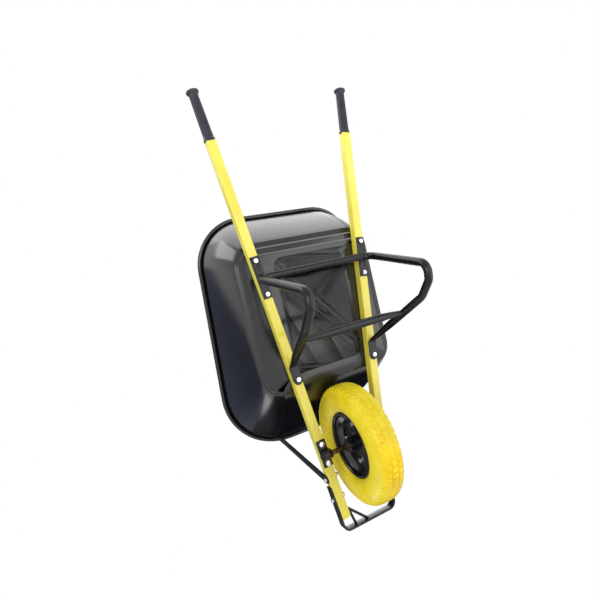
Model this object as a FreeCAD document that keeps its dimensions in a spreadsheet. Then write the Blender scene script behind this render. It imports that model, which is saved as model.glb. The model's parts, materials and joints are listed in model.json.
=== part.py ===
import FreeCAD, Part
import math
import os

import Sketcher

# A single-wheel barrow on two square-tube handles, with a pressed steel tray,
# a one-piece bent tube leg frame and a puncture-free wheel on ball bearings.
# Everything is laid out in the handle frame: origin at the middle of the axle,
# +X to the nose, +Y to the left, +Z from the handles towards the tray. The
# whole barrow is then stood on its wheel and legs by one shared placement.

doc = FreeCAD.newDocument("Wheelbarrow")

SIZES = {
    # wheel
    "tyre_radius": 195, "tyre_half_width": 44.5, "tread_half_width": 22,
    "bead_radius": 101.6, "bead_half_width": 25.5, "flange_radius": 109, "flange_flare": 2.5,
    "rim_sheet": 2.5, "disc_radius": 80, "rim_bolt_circle": 62, "rim_bolt_count": 4,
    "hub_radius": 23, "hub_half_width": 35, "hub_bore": 15,
    "bearing_radius": 17.5, "bearing_width": 11, "axle_radius": 8, "running_gap": 0.05,
    "collar_radius": 14, "collar_width": 10, "collar_gap": 0.4,
    # handles and grips
    "handle_size": 30, "handle_wall": 2, "handle_corner": 3,
    "nose_x": 229, "nose_y": 86.5, "handle_length": 1265, "splay": 7.125,
    "grip_length": 158, "grip_radius": 15.5, "grip_end_radius": 20, "grip_end_length": 6,
    "grip_collar_radius": 18.5, "grip_collar_length": 9, "spigot_radius": 12, "spigot_wall": 2,
    "handle_end_wall": 4,
    # axle brackets
    "bracket_length": 90, "bracket_width": 32, "bracket_sheet": 4, "saddle_radius": 14, "saddle_rise": 6,
    "bracket_bolt_offset": 32, "bracket_bolt_radius": 5,
    # tray; its base starts behind the tyre, and x is measured from the base's front edge
    "tray_gap": 27, "tray_wall": 1.2, "bead_roll_radius": 8, "bead_roll_wall": 1.6,
    "base_rear": -439, "base_margin": 19.4, "base_corner": 32,
    "step_height": 18, "step_rear": -484, "step_front": 16, "step_margin": 32, "step_corner": 70,
    "brim_height": 335.3, "brim_tilt": 13.5, "brim_rear": -627.3, "brim_front": 301.3,
    "brim_half": 318, "brim_rear_corner": 172, "brim_front_corner": 262,
    # leg frame; x is measured from the front edge of the tray's base
    "leg_radius": 12.5, "leg_wall": 2, "leg_bend": 48, "leg_sink": 1,
    "tab_length": 74, "tab_width": 32, "tab_sheet": 6, "front_bolt_x": -32, "tab_nose": 18,
    "foot_front_x": -205, "foot_front_y": 194, "foot_front_lift": 38, "foot_middle_x": -252,
    "foot_middle_y": 192, "foot_rear_x": -298, "foot_rear_y": 190,
    "bridge_x": -368, "bridge_half": 209,
    "plate_length": 136, "plate_width": 30, "plate_sheet": 4, "plate_rear_x": -436,
    "plate_bolt_inset": 14, "brace_drop": 144, "brace_setback": 12, "brace_radius": 12.5, "brace_wall": 2,
    "tray_bolt_radius": 4, "bolt_clearance": 0.3, "washer_sheet": 1.6,
    # nose guard and its brace
    "guard_bar": 28, "guard_sheet": 6, "guard_front_x": 275, "guard_corner": 20,
    "guard_rear_x": 118, "guard_bolt_x": 160, "rod_radius": 4.5, "rod_apex_inset": 20,
    "rod_near_inset": 28, "rod_far_y": 8,
    # tray stays; x is measured from the front edge of the tray's base
    "stay_width": 28, "stay_sheet": 5, "stay_foot_x": 310, "stay_lean": 9, "side_bolt_radius": 4,
    # stance
    "rest_tilt": 11, "stand_shift": 0,
}

sheet = doc.addObject("Spreadsheet::Sheet", "sizes")
for row, (alias, number) in enumerate(SIZES.items(), start=1):
    sheet.set("A%d" % row, alias)
    sheet.set("B%d" % row, str(number))
    sheet.setAlias("B%d" % row, alias)
doc.recompute()


def size(expression):
    """The number that a size, or a sum of sizes, has in the sheet."""
    return float(sheet.evalExpression(expression))


V = FreeCAD.Vector
X, Y, Z = V(1, 0, 0), V(0, 1, 0), V(0, 0, 1)
PARTS = []


def along_handle(x):
    """Distance of a handle's centre line from the middle, at a place along the barrow."""
    return size("nose_y") + (size("nose_x") - x) * math.tan(math.radians(size("splay")))


HANDLE_UNDER = size("saddle_radius + saddle_rise")
HANDLE_MIDDLE = HANDLE_UNDER + size("handle_size / 2")
HANDLE_TOP = HANDLE_UNDER + size("handle_size")
TRAY_X = -size("tyre_radius + tray_gap")


def from_tray(name):
    """The x of a place whose size is measured from the front edge of the tray's base."""
    return TRAY_X + size(name)


def keep(obj, label, local=None):
    """Registers a finished piece under its node name; local is its place in the handle frame."""
    obj.Label = label
    PARTS.append((obj, local or FreeCAD.Placement()))
    return obj


def bind(obj, **sizes):
    for name, expression in sizes.items():
        obj.setExpression(name, expression)
    return obj


def bound(expression):
    """The same sum of sizes written for setExpression."""
    words = expression.replace("(", " ( ").replace(")", " ) ").split(" ")
    return " ".join("sizes." + w if w in SIZES else w for w in words)


def box(name, length, width, height, at):
    b = doc.addObject("Part::Box", name)
    bind(b, Length=bound(length), Width=bound(width), Height=bound(height))
    b.Placement.Base = at
    return b


def cylinder(name, radius, height, at, axis=Z):
    c = doc.addObject("Part::Cylinder", name)
    bind(c, Radius=bound(radius), Height=bound(height))
    c.Placement = FreeCAD.Placement(at, FreeCAD.Rotation(Z, axis))
    return c


def joined(name, pieces):
    f = doc.addObject("Part::MultiFuse", name)
    f.Shapes = pieces
    f.Refine = True
    return f


def less(name, base, tool):
    c = doc.addObject("Part::Cut", name)
    c.Base, c.Tool = base, tool
    return c


def made(name, shape):
    f = doc.addObject("Part::Feature", name)
    f.Shape = shape
    return f


def turned(label, outline, axis, pieces=None):
    """A turned piece: a PartDesign body that revolves an outline of bound points.

    The sketch lies on XY; axis V turns it about Y (points are radius, y), axis H
    turns it about X (points are x, radius)."""
    body = doc.addObject("PartDesign::Body", label + "_body")
    sketch = body.newObject("Sketcher::SketchObject", label + "_outline")
    plane = [f for f in body.Origin.OriginFeatures if f.Role == "XY_Plane"][0]
    sketch.AttachmentSupport = [(plane, "")]
    sketch.MapMode = "FlatFace"
    points = [V(size(a), size(b), 0) for a, b in outline]
    count = len(points)
    for i in range(count):
        sketch.addGeometry(Part.LineSegment(points[i], points[(i + 1) % count]), False)
    for i in range(count):
        sketch.addConstraint(Sketcher.Constraint("Coincident", i, 2, (i + 1) % count, 1))
    for i, (a, b) in enumerate(outline):
        for kind, value, expression in (("DistanceX", points[i].x, a), ("DistanceY", points[i].y, b)):
            n = sketch.addConstraint(Sketcher.Constraint(kind, -1, 1, i, 1, value))
            sketch.setExpression("Constraints[%d]" % n, bound(expression))
    turn = body.newObject("PartDesign::Revolution", label + "_turn")
    turn.Profile = sketch
    turn.ReferenceAxis = (sketch, [axis + "_Axis"])
    turn.Angle = 360
    body.Tip = turn
    return body


# ---------------------------------------------------------------- wheel

def tyre():
    """Foam tyre: a solid ring that seats on the rim's bead and fills the flanges."""
    half = [("bead_radius", "bead_half_width"),
            ("flange_radius", "bead_half_width + flange_flare"),
            ("flange_radius + 8", "tyre_half_width - 6"),
            ("flange_radius + 26", "tyre_half_width"),
            ("tyre_radius - 33", "tyre_half_width"),
            ("tyre_radius - 15", "tyre_half_width - 5"),
            ("tyre_radius - 4", "tyre_half_width - 14"),
            ("tyre_radius", "tread_half_width")]
    mirror = [(r, "0 - ( " + y + " )") for r, y in reversed(half)]
    keep(turned("tyre", half + mirror, "V"), "tyre")


def rim_half(side, sign):
    """Stamped rim half: flat disc, cone, bead seat and flange of one sheet."""
    t = "rim_sheet"
    outline = [("hub_radius", "0"), ("disc_radius", "0"),
               ("bead_radius", "bead_half_width - 13"), ("bead_radius", "bead_half_width"),
               ("flange_radius", "bead_half_width + flange_flare"),
               ("flange_radius", "bead_half_width + flange_flare + " + t),
               ("bead_radius - " + t, "bead_half_width + " + t),
               ("bead_radius - " + t, "bead_half_width - 12"),
               ("disc_radius - 1", t), ("hub_radius", t)]
    if sign < 0:
        outline = [(r, "0 - ( " + y + " )") for r, y in outline]
    disc = turned("rim_half_" + side, outline, "V")
    holes = []
    reach = size("rim_sheet") * 3
    for i in range(int(size("rim_bolt_count"))):
        angle = 2 * math.pi * i / size("rim_bolt_count")
        r = size("rim_bolt_circle")
        at = V(r * math.cos(angle), -reach, r * math.sin(angle))
        hole = cylinder("rim_hole_%s_%d" % (side, i), "side_bolt_radius", "6 * rim_sheet", at, Y)
        holes.append(hole)
    keep(less("rim_half_cut_" + side, disc, joined("rim_holes_" + side, holes)), "rim_half_" + side)


def hub():
    """Hub tube through both discs, counterbored at each end for its bearing."""
    seat = "hub_half_width - bearing_width"
    right = [("hub_radius", "hub_half_width"), ("bearing_radius", "hub_half_width"),
             ("bearing_radius", seat), ("hub_bore", seat)]
    mirror = [(r, "0 - ( " + y + " )") for r, y in reversed(right)]
    keep(turned("wheel_hub", right + mirror, "V"), "wheel_hub")


def bearing(side, sign):
    inner, outer = "hub_half_width - bearing_width", "hub_half_width"
    bore = "axle_radius + running_gap"
    outline = [(bore, inner), ("bearing_radius", inner), ("bearing_radius", outer), (bore, outer)]
    if sign < 0:
        outline = [(r, "0 - ( " + y + " )") for r, y in outline]
    keep(turned("bearing_" + side, outline, "V"), "bearing_" + side)


def axle():
    reach = size("nose_y + bracket_width / 2") + size("nose_x") * math.tan(math.radians(size("splay")))
    rod = cylinder("axle_rod", "axle_radius", "1", V(0, -reach, 0), Y)
    bind(rod, Height="2 * (sizes.nose_y + sizes.nose_x * tan(sizes.splay * 1 deg) + sizes.bracket_width / 2)")
    keep(rod, "axle")


def collar(side, sign):
    start = "hub_half_width + collar_gap"
    end = "hub_half_width + collar_gap + collar_width"
    outline = [("axle_radius", start), ("collar_radius", start), ("collar_radius", end),
               ("axle_radius", end)]
    if sign < 0:
        outline = [(r, "0 - ( " + y + " )") for r, y in outline]
    keep(turned("axle_collar_" + side, outline, "V"), "axle_collar_" + side)


# ---------------------------------------------------------------- fasteners

def hexagon(across, height):
    radius = across / math.sqrt(3)
    corners = [V(radius * math.cos(math.radians(a)), radius * math.sin(math.radians(a)), 0)
               for a in range(30, 391, 60)]
    return Part.Face(Part.makePolygon(corners)).extrude(V(0, 0, height))


def shank_length(radius, clamped):
    """What the bolt clamps, its nut, and the turns of thread that stand out."""
    return clamped + 2.4 * radius


def hex_bolt(radius, clamped):
    """Head below the origin, shank up +Z."""
    head = hexagon(3.4 * radius, 1.3 * radius)
    head.translate(V(0, 0, -1.3 * radius))
    return head.fuse(Part.makeCylinder(radius, shank_length(radius, clamped))).removeSplitter()


def nut(radius):
    """Hexagon nut standing on the origin, bored to the bolt it is screwed on."""
    height = 1.6 * radius
    return hexagon(3.4 * radius, height).cut(Part.makeCylinder(radius, height))


def coach_bolt(radius, clamped):
    """Domed head above the origin, shank down -Z."""
    dome = Part.makeCylinder(2.1 * radius, 0.9 * radius)
    rim = [e for e in dome.Edges if abs(e.CenterOfMass.z - 0.9 * radius) < 1e-6]
    dome = dome.makeFillet(0.8 * radius, rim)
    shank = Part.makeCylinder(radius, shank_length(radius, clamped), V(), -Z)
    return dome.fuse(shank).removeSplitter()


def group(label, shape, places):
    """Copies of one fastener, each a separate solid in one node."""
    solids = []
    for place in places:
        copy = shape.copy()
        copy.Placement = place.multiply(copy.Placement)
        solids.append(copy)
    keep(made(label + "_group", Part.makeCompound(solids)), label)


def upright(points, turn=0):
    return [FreeCAD.Placement(p, FreeCAD.Rotation(X, turn)) for p in points]


def both_sides(points):
    return points + [V(p.x, -p.y, p.z) for p in points]


# ---------------------------------------------------------------- handles

def handle_place():
    at = V(size("nose_x"), size("nose_y"), HANDLE_MIDDLE)
    return FreeCAD.Placement(at, FreeCAD.Rotation(Z, 180 - size("splay")))


def to_handle(point):
    """A point of the handle frame, in the left handle's own axes."""
    return handle_place().inverse().multVec(point)


BRACKET_BOLTS = [V(s * size("bracket_bolt_offset"), along_handle(s * size("bracket_bolt_offset")), 0)
                 for s in (-1, 1)]
FRONT_BOLT = V(from_tray("front_bolt_x"), along_handle(from_tray("front_bolt_x")), 0)
PLATE_XS = [from_tray("plate_rear_x") + size("plate_bolt_inset"),
            from_tray("plate_rear_x") + size("plate_length - plate_bolt_inset")]
PLATE_BOLTS = [V(x, along_handle(x), 0) for x in PLATE_XS]
GUARD_BOLT = V(size("guard_bolt_x"), along_handle(size("guard_bolt_x")), HANDLE_MIDDLE)
STAY_BOLT = V(from_tray("stay_foot_x"), along_handle(from_tray("stay_foot_x")), HANDLE_MIDDLE)


def handle():
    """Square tube, its rear end closed by a plate round a welded spigot."""
    half = size("handle_size") / 2
    wall = size("handle_wall")
    tube = box("handle_tube", "handle_length", "handle_size", "handle_size", V(0, -half, -half))
    rounded = doc.addObject("Part::Fillet", "handle_tube_rounded")
    rounded.Base = tube
    doc.recompute()
    long_edges = [i + 1 for i, e in enumerate(tube.Shape.Edges)
                  if abs(e.Length - size("handle_length")) < 1e-6]
    rounded.Edges = [(i, size("handle_corner"), size("handle_corner")) for i in long_edges]
    bore = box("handle_bore", "handle_length - handle_end_wall", "handle_size - 2 * handle_wall",
               "handle_size - 2 * handle_wall", V(0, wall - half, wall - half))
    tube_cut = less("handle_hollow", rounded, bore)
    spigot = cylinder("handle_spigot_rod", "spigot_radius", "grip_length - 2 * grip_end_length",
                      V(size("handle_length"), 0, 0), X)
    spigot_bore = cylinder("handle_spigot_bore", "spigot_radius - spigot_wall",
                           "grip_length - 2 * grip_end_length", V(size("handle_length") + 1, 0, 0), X)
    body = joined("handle_joined", [tube_cut, less("handle_spigot", spigot, spigot_bore)])
    drills = []
    for i, p in enumerate(BRACKET_BOLTS):
        at = to_handle(V(p.x, p.y, HANDLE_UNDER - 5))
        drills.append(cylinder("bracket_drill_%d" % i, "bracket_bolt_radius + bolt_clearance",
                               "handle_size + 10", at))
    for i, p in enumerate([FRONT_BOLT] + PLATE_BOLTS):
        at = to_handle(V(p.x, p.y, HANDLE_UNDER - 5))
        drills.append(cylinder("tray_drill_%d" % i, "tray_bolt_radius + bolt_clearance",
                               "handle_size + 10", at))
    for i, p in enumerate([GUARD_BOLT, STAY_BOLT]):
        at = to_handle(p) - Y * size("handle_size")
        drills.append(cylinder("side_drill_%d" % i, "side_bolt_radius + bolt_clearance",
                               "2 * handle_size", at, Y))
    drilled = less("handle_left_drilled", body, joined("handle_drills", drills))
    keep(drilled, "handle_left", handle_place())
    return drilled


def grip():
    """Moulded sleeve: collar at the front, plain barrel, closed flanged end."""
    far = "grip_length"
    outline = [("0", "spigot_radius"), ("0", "grip_collar_radius"),
               ("grip_collar_length", "grip_collar_radius"),
               ("grip_collar_length + 6", "grip_radius"),
               (far + " - grip_end_length - 4", "grip_radius"),
               (far + " - grip_end_length", "grip_end_radius"), (far, "grip_end_radius - 1"),
               (far, "0"), (far + " - 2 * grip_end_length", "0"),
               (far + " - 2 * grip_end_length", "spigot_radius")]
    place = handle_place().multiply(FreeCAD.Placement(V(size("handle_length"), 0, 0), FreeCAD.Rotation()))
    return keep(turned("grip_left", outline, "H"), "grip_left", place)


def mirrored(label, left):
    """The right-hand copy of a left-hand piece, across the barrow's middle plane."""
    m = doc.addObject("Part::Mirroring", label + "_mirror")
    m.Source = left
    m.Normal = Y
    m.Label = label
    PARTS.append((m, None))
    return m


# ---------------------------------------------------------------- axle brackets

def axle_bracket():
    """Flat foot under the handle with a rounded saddle that holds the axle."""
    y = along_handle(0)
    w = size("bracket_width")
    turn = FreeCAD.Placement(V(0, y, HANDLE_UNDER), FreeCAD.Rotation(Z, -size("splay")))
    foot = box("bracket_foot", "bracket_length", "bracket_width", "bracket_sheet", V(0, 0, 0))
    foot.Placement = turn.multiply(FreeCAD.Placement(
        V(-size("bracket_length") / 2, -w / 2, -size("bracket_sheet")), FreeCAD.Rotation()))
    post = box("bracket_post", "2 * saddle_radius", "bracket_width", "saddle_radius + saddle_rise",
               V(-size("saddle_radius"), y - w / 2, 0))
    saddle = cylinder("bracket_saddle", "saddle_radius", "bracket_width", V(0, y - w / 2, 0), Y)
    bore = cylinder("bracket_bore", "axle_radius", "bracket_width + 10", V(0, y - w / 2 - 5, 0), Y)
    drills = [cylinder("bracket_hole_%d" % i, "bracket_bolt_radius + bolt_clearance",
                       "4 * bracket_sheet", V(p.x, p.y, HANDLE_UNDER - 2 * size("bracket_sheet")))
              for i, p in enumerate(BRACKET_BOLTS)]
    solid = joined("bracket_solid", [foot, post, saddle])
    cuts = joined("bracket_cuts", [bore] + drills)
    return keep(less("axle_bracket", solid, cuts), "axle_bracket_left")


# ---------------------------------------------------------------- tray

def rounded_outline(rear, front, half, rear_corner, front_corner, place):
    """A rounded rectangle, symmetric about X, with its own front and rear corners."""
    c = math.sqrt(0.5)
    corners = [(rear, half, rear_corner, 1, -1), (front, half, front_corner, -1, -1),
               (front, -half, front_corner, -1, 1), (rear, -half, rear_corner, 1, 1)]
    ends = []
    arcs = []
    for k, (x, y, r, sx, sy) in enumerate(corners):
        centre = V(x + sx * r, y + sy * r, 0)
        on_end = V(x, centre.y, 0)
        on_side = V(centre.x, y, 0)
        middle = centre + V(-sx * r * c, -sy * r * c, 0)
        first, last = (on_end, on_side) if k % 2 == 0 else (on_side, on_end)
        arcs.append(Part.Arc(first, middle, last).toShape())
        ends.append((first, last))
    edges = []
    for k in range(4):
        edges.append(arcs[k])
        edges.append(Part.LineSegment(ends[k][1], ends[(k + 1) % 4][0]).toShape())
    wire = Part.Wire(edges)
    wire.Placement = place
    return wire


def level(height):
    return FreeCAD.Placement(V(0, 0, height), FreeCAD.Rotation())


def brim_place(lift=0):
    """The brim's plane, through the point above the base's front edge; it rises to the front."""
    turn = FreeCAD.Rotation(Y, -size("brim_tilt"))
    above = V(TRAY_X, 0, HANDLE_TOP + size("brim_height"))
    return FreeCAD.Placement(above + turn.multVec(Z) * lift, turn)


def tray_hull(inset, floor_lift, brim_lifts):
    """The tray as a solid block: base, step and brim outlines joined by ruled walls.

    The base is as wide as the handles are apart at its rear edge, plus a margin."""
    base_half = along_handle(from_tray("base_rear")) + size("base_margin")
    step_half = base_half + size("step_margin")
    base = rounded_outline(from_tray("base_rear") + inset, TRAY_X - inset,
                           base_half - inset, size("base_corner"), size("base_corner"),
                           level(HANDLE_TOP + floor_lift))
    step = rounded_outline(from_tray("step_rear") + inset, from_tray("step_front") - inset,
                           step_half - inset, size("step_corner"), size("step_corner"),
                           level(HANDLE_TOP + size("step_height") + floor_lift))
    edge = inset + 1.5 * size("bead_roll_radius")
    brims = [rounded_outline(size("brim_rear") + edge, size("brim_front") - edge,
                             size("brim_half") - edge, size("brim_rear_corner") - edge,
                             size("brim_front_corner") - edge, brim_place(lift))
             for lift in brim_lifts]
    return Part.makeLoft([base, step] + brims, True, True)


def rolled_edge(radius):
    """The tube-like roll round the brim."""
    r = size("bead_roll_radius")
    path = rounded_outline(size("brim_rear") + r, size("brim_front") - r, size("brim_half") - r,
                           size("brim_rear_corner") - r, size("brim_front_corner") - r,
                           FreeCAD.Placement())
    start = path.Edges[0].Vertexes[0].Point
    tangent = path.Edges[0].tangentAt(path.Edges[0].FirstParameter)
    ring = Part.Wire(Part.makeCircle(radius, start, tangent))
    roll = path.makePipeShell([ring], True, True)
    roll.Placement = brim_place()
    return roll


def tray():
    """Deep-drawn tray of one wall, with its brim rolled outwards and drilled base."""
    wall = size("tray_wall")
    shell = tray_hull(0, 0, [0]).cut(tray_hull(wall, wall, [0, 10]))
    roll = rolled_edge(size("bead_roll_radius"))
    void = rolled_edge(size("bead_roll_radius - bead_roll_wall"))
    body = shell.cut(roll).fuse(roll.cut(void))
    for p in both_sides([FRONT_BOLT] + PLATE_BOLTS):
        radius = size("tray_bolt_radius + bolt_clearance")
        body = body.cut(Part.makeCylinder(radius, 20, V(p.x, p.y, HANDLE_TOP - 10)))
    keep(made("tray_pressing", body), "tray")


# ---------------------------------------------------------------- leg frame

def bent_path(points, radii):
    """Straight runs joined by tangent arcs; one radius for each inner point."""
    edges = []
    start = points[0]
    for before, corner, after, radius in zip(points, points[1:], points[2:], radii):
        back = (before - corner).normalize()
        ahead = (after - corner).normalize()
        half_turn = back.getAngle(ahead) / 2
        reach = radius / math.tan(half_turn)
        first, last = corner + back * reach, corner + ahead * reach
        centre = corner + (back + ahead).normalize() * (radius / math.sin(half_turn))
        middle = centre + (corner - centre).normalize() * radius
        edges.append(Part.LineSegment(start, first).toShape())
        edges.append(Part.Arc(first, middle, last).toShape())
        start = last
    edges.append(Part.LineSegment(start, points[-1]).toShape())
    return Part.Wire(edges)


def swept(path, radius):
    edge = path.Edges[0]
    tangent = edge.tangentAt(edge.FirstParameter)
    ring = Part.Wire(Part.makeCircle(radius, edge.valueAt(edge.FirstParameter), tangent))
    return path.makePipeShell([ring], True, False)


def foot_height(x):
    """Handle-frame height of the foot's centre line, which lies level on the ground."""
    tilt = math.radians(size("rest_tilt"))
    return (size("leg_radius - tyre_radius") + x * math.sin(tilt)) / math.cos(tilt)


def leg_points():
    """The left half of the leg frame's centre line, from the front tab to the bridge."""
    tab_end = FRONT_BOLT.x + size("tab_nose") - size("tab_length")
    top = V(tab_end + 8, along_handle(tab_end + 8), HANDLE_UNDER - size("tab_sheet") / 2)
    front_x, middle_x, rear_x = [from_tray("foot_%s_x" % name) for name in ("front", "middle", "rear")]
    lifted = foot_height(front_x) + size("foot_front_lift")
    foot_front = V(front_x, size("foot_front_y"), lifted)
    foot_middle = V(middle_x, size("foot_middle_y"), foot_height(middle_x))
    foot_rear = V(rear_x, size("foot_rear_y"), foot_height(rear_x))
    bridge = HANDLE_UNDER - size("plate_sheet - leg_sink + leg_radius")
    corner = V(from_tray("bridge_x"), size("bridge_half"), bridge)
    return [top, foot_front, foot_middle, foot_rear, corner]


def leg_solid(radius):
    left = leg_points()
    right = [V(p.x, -p.y, p.z) for p in reversed(left)]
    bend = size("leg_bend")
    bends = [1.25 * bend, 0.8 * bend, 0.6 * bend, 0.75 * bend]
    return swept(bent_path(left + right, bends + bends[::-1]), radius)


def leg_tab():
    """Flattened front end of the leg tube: a plate with a round nose and a bolt hole."""
    w = size("tab_width")
    nose = FRONT_BOLT.x + size("tab_nose")
    plate = Part.makeBox(size("tab_length") - w / 2, w, size("tab_sheet"), V(-size("tab_length"), -w / 2, 0))
    round_nose = Part.makeCylinder(w / 2, size("tab_sheet"), V(-w / 2, 0, 0))
    tab = plate.fuse(round_nose).removeSplitter()
    tab.Placement = FreeCAD.Placement(V(nose, along_handle(nose), HANDLE_UNDER - size("tab_sheet")),
                                      FreeCAD.Rotation(Z, -size("splay")))
    hole = Part.makeCylinder(size("tray_bolt_radius + bolt_clearance"), 40,
                             V(FRONT_BOLT.x, FRONT_BOLT.y, HANDLE_UNDER - 20))
    return tab.cut(hole)


def leg_frame():
    """One bent tube: tab, leg, foot, up to the bridge under both handles, and back."""
    outer = leg_solid(size("leg_radius"))
    inner = leg_solid(size("leg_radius - leg_wall"))
    wide = 3 * size("bridge_half")
    reach = size("tab_length + plate_length")
    above_tabs = Part.makeBox(reach, wide, reach, V(FRONT_BOLT.x - reach / 2, -wide / 2, HANDLE_UNDER))
    plate_under = HANDLE_UNDER - size("plate_sheet")
    bridge_x = from_tray("bridge_x")
    above_plates = Part.makeBox(4 * size("leg_radius"), wide, reach,
                                V(bridge_x - 2 * size("leg_radius"), -wide / 2, plate_under))
    left_tab = leg_tab()
    right_tab = left_tab.mirror(V(), Y)
    body = outer.cut(inner).fuse([left_tab, right_tab]).cut(above_tabs).cut(above_plates)
    keep(made("leg_tube", body), "leg_frame")
    return outer


def leg_brace(leg):
    """Cross tube behind the front legs, its ends coped to the leg tubes."""
    top, foot = leg_points()[:2]
    joint = top + (foot - top) * ((top.z + size("brace_drop")) / (top.z - foot.z))
    at = V(joint.x - size("brace_setback"), -joint.y, joint.z)
    rod = Part.makeCylinder(size("brace_radius"), 2 * joint.y, at, Y)
    bore = Part.makeCylinder(size("brace_radius - brace_wall"), 2 * joint.y, at, Y)
    pieces = rod.cut(bore).cut(leg).Solids
    middle = max(pieces, key=lambda solid: solid.Volume)
    keep(made("leg_brace_tube", middle), "leg_brace")


def rear_plate():
    """Mounting plate welded over the leg tube's bridge, bolted up through the handle."""
    x = from_tray("plate_rear_x")
    plate = box("rear_plate_blank", "plate_length", "plate_width", "plate_sheet", V(0, 0, 0))
    turn = FreeCAD.Placement(V(x, along_handle(x), HANDLE_UNDER), FreeCAD.Rotation(Z, -size("splay")))
    plate.Placement = turn.multiply(FreeCAD.Placement(
        V(0, -size("plate_width") / 2, -size("plate_sheet")), FreeCAD.Rotation()))
    drills = [cylinder("plate_hole_%d" % i, "tray_bolt_radius + bolt_clearance", "4 * plate_sheet",
                       V(p.x, p.y, HANDLE_UNDER - 2 * size("plate_sheet")))
              for i, p in enumerate(PLATE_BOLTS)]
    return keep(less("rear_plate_drilled", plate, joined("plate_holes", drills)), "rear_plate_left")


# ---------------------------------------------------------------- nose guard and stays

def out_from_handle(side=1):
    """Unit vector square to the outside face of the left (1) or right (-1) handle."""
    splay = math.radians(size("splay"))
    return V(math.sin(splay), side * math.cos(splay), 0)


def guard_inner(x):
    return along_handle(x) + size("handle_size") / 2 / math.cos(math.radians(size("splay")))


def nose_guard():
    """Flat bar bent round the nose, its arms bolted to the outsides of the handles."""
    sheet_thickness = size("guard_sheet")
    rear, front = size("guard_rear_x"), size("guard_front_x") - sheet_thickness
    low = HANDLE_MIDDLE - size("guard_bar / 2")

    def ring(grow, corner):
        def outline_y(x):
            return guard_inner(x) + grow / math.cos(math.radians(size("splay")))
        left = [V(rear, outline_y(rear), low), V(front + grow, outline_y(front + grow), low)]
        return bent_path(left + [V(p.x, -p.y, p.z) for p in reversed(left)], [corner, corner])

    inner = ring(0, size("guard_corner"))
    outer = ring(sheet_thickness, size("guard_corner") + sheet_thickness)
    ends = [Part.LineSegment(a.Point, b.Point).toShape()
            for a, b in ((inner.OrderedVertexes[0], outer.OrderedVertexes[0]),
                         (inner.OrderedVertexes[-1], outer.OrderedVertexes[-1]))]
    face = Part.Face(Part.Wire(Part.__sortEdges__(inner.Edges + outer.Edges + ends)))
    bar = face.extrude(Z * size("guard_bar"))
    for side in (1, -1):
        at = V(GUARD_BOLT.x, side * GUARD_BOLT.y, GUARD_BOLT.z)
        bar = bar.cut(Part.makeCylinder(size("side_bolt_radius + bolt_clearance"), size("2 * handle_size"),
                                        at, out_from_handle(side)))
    keep(made("nose_guard_bar", bar), "nose_guard")


def nose_brace():
    """Bent rod from the inside of the left handle's end to the guard's cross bar."""
    r = size("rod_radius")
    front = size("guard_front_x - guard_sheet")
    apex_x = size("nose_x - rod_apex_inset")
    clear = (size("handle_size") / 2 + r) / math.cos(math.radians(size("splay")))
    apex = V(apex_x, along_handle(apex_x) - clear, HANDLE_MIDDLE)
    near = V(front, along_handle(front) - size("rod_near_inset"), HANDLE_MIDDLE)
    far = V(front, size("rod_far_y"), HANDLE_MIDDLE)
    rods = []
    for end in (near, far):
        run = end - apex
        rods.append(Part.makeCylinder(r, run.Length + 2 * r, apex, run))
    solid = rods[0].fuse(rods[1]).fuse(Part.makeSphere(r, apex))
    wide = 4 * along_handle(front)
    beyond = Part.makeBox(wide, wide, wide, V(front, -wide / 2, -wide / 2))
    keep(made("nose_brace_rod", solid.cut(beyond).removeSplitter()), "nose_brace")


def stay():
    """Flat bar from the handle's outside up to the tray's front wall."""
    w, t = size("stay_width"), size("stay_sheet")
    bar = Part.makeBox(w, t, 2 * size("brim_height"), V(-w / 2, 0, 0))
    foot = Part.makeCylinder(w / 2, t, V(0, 0, 0), Y)
    blank = bar.fuse(foot).removeSplitter()
    blank = blank.cut(Part.makeCylinder(size("side_bolt_radius + bolt_clearance"), 3 * t, V(0, -t, 0), Y))
    blank.rotate(V(), Y, -size("stay_lean"))
    blank.rotate(V(), Z, -size("splay"))
    blank.translate(STAY_BOLT + out_from_handle() * (size("handle_size") / 2))
    filled = tray_hull(0, 0, [0, size("bead_roll_radius"), size("brim_height")])
    trimmed = blank.cut(filled).cut(rolled_edge(size("bead_roll_radius")))
    lowest = min(trimmed.Solids, key=lambda solid: solid.CenterOfMass.z)
    return keep(made("stay_bar", lowest), "stay_left")


# ---------------------------------------------------------------- assembly

tyre()
for name, sign in (("left", 1), ("right", -1)):
    rim_half(name, sign)
    bearing(name, sign)
    collar(name, sign)
hub()
axle()
handle_left = handle()
grip_left = grip()
bracket_left = axle_bracket()
tray()
leg_outer = leg_frame()
leg_brace(leg_outer)
plate_left = rear_plate()
nose_guard()
nose_brace()
stay_left = stay()

bolt_r = size("side_bolt_radius")
rim_places = []
for i in range(int(size("rim_bolt_count"))):
    a = 2 * math.pi * i / size("rim_bolt_count")
    r = size("rim_bolt_circle")
    rim_places.append(V(r * math.cos(a), 0, r * math.sin(a)))
sheet_t = size("rim_sheet")
group("rim_bolts", hex_bolt(bolt_r, 2 * sheet_t),
      [FreeCAD.Placement(p + Y * sheet_t, FreeCAD.Rotation(X, 90)) for p in rim_places])
group("rim_nuts", nut(bolt_r),
      [FreeCAD.Placement(p - Y * sheet_t, FreeCAD.Rotation(X, 90)) for p in rim_places])

bracket_r = size("bracket_bolt_radius")
under_bracket = HANDLE_UNDER - size("bracket_sheet")
group("axle_bracket_bolts", hex_bolt(bracket_r, size("bracket_sheet + handle_size")),
      upright(both_sides([V(p.x, p.y, under_bracket) for p in BRACKET_BOLTS])))
group("axle_bracket_nuts", nut(bracket_r),
      upright(both_sides([V(p.x, p.y, HANDLE_TOP) for p in BRACKET_BOLTS])))

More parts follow.
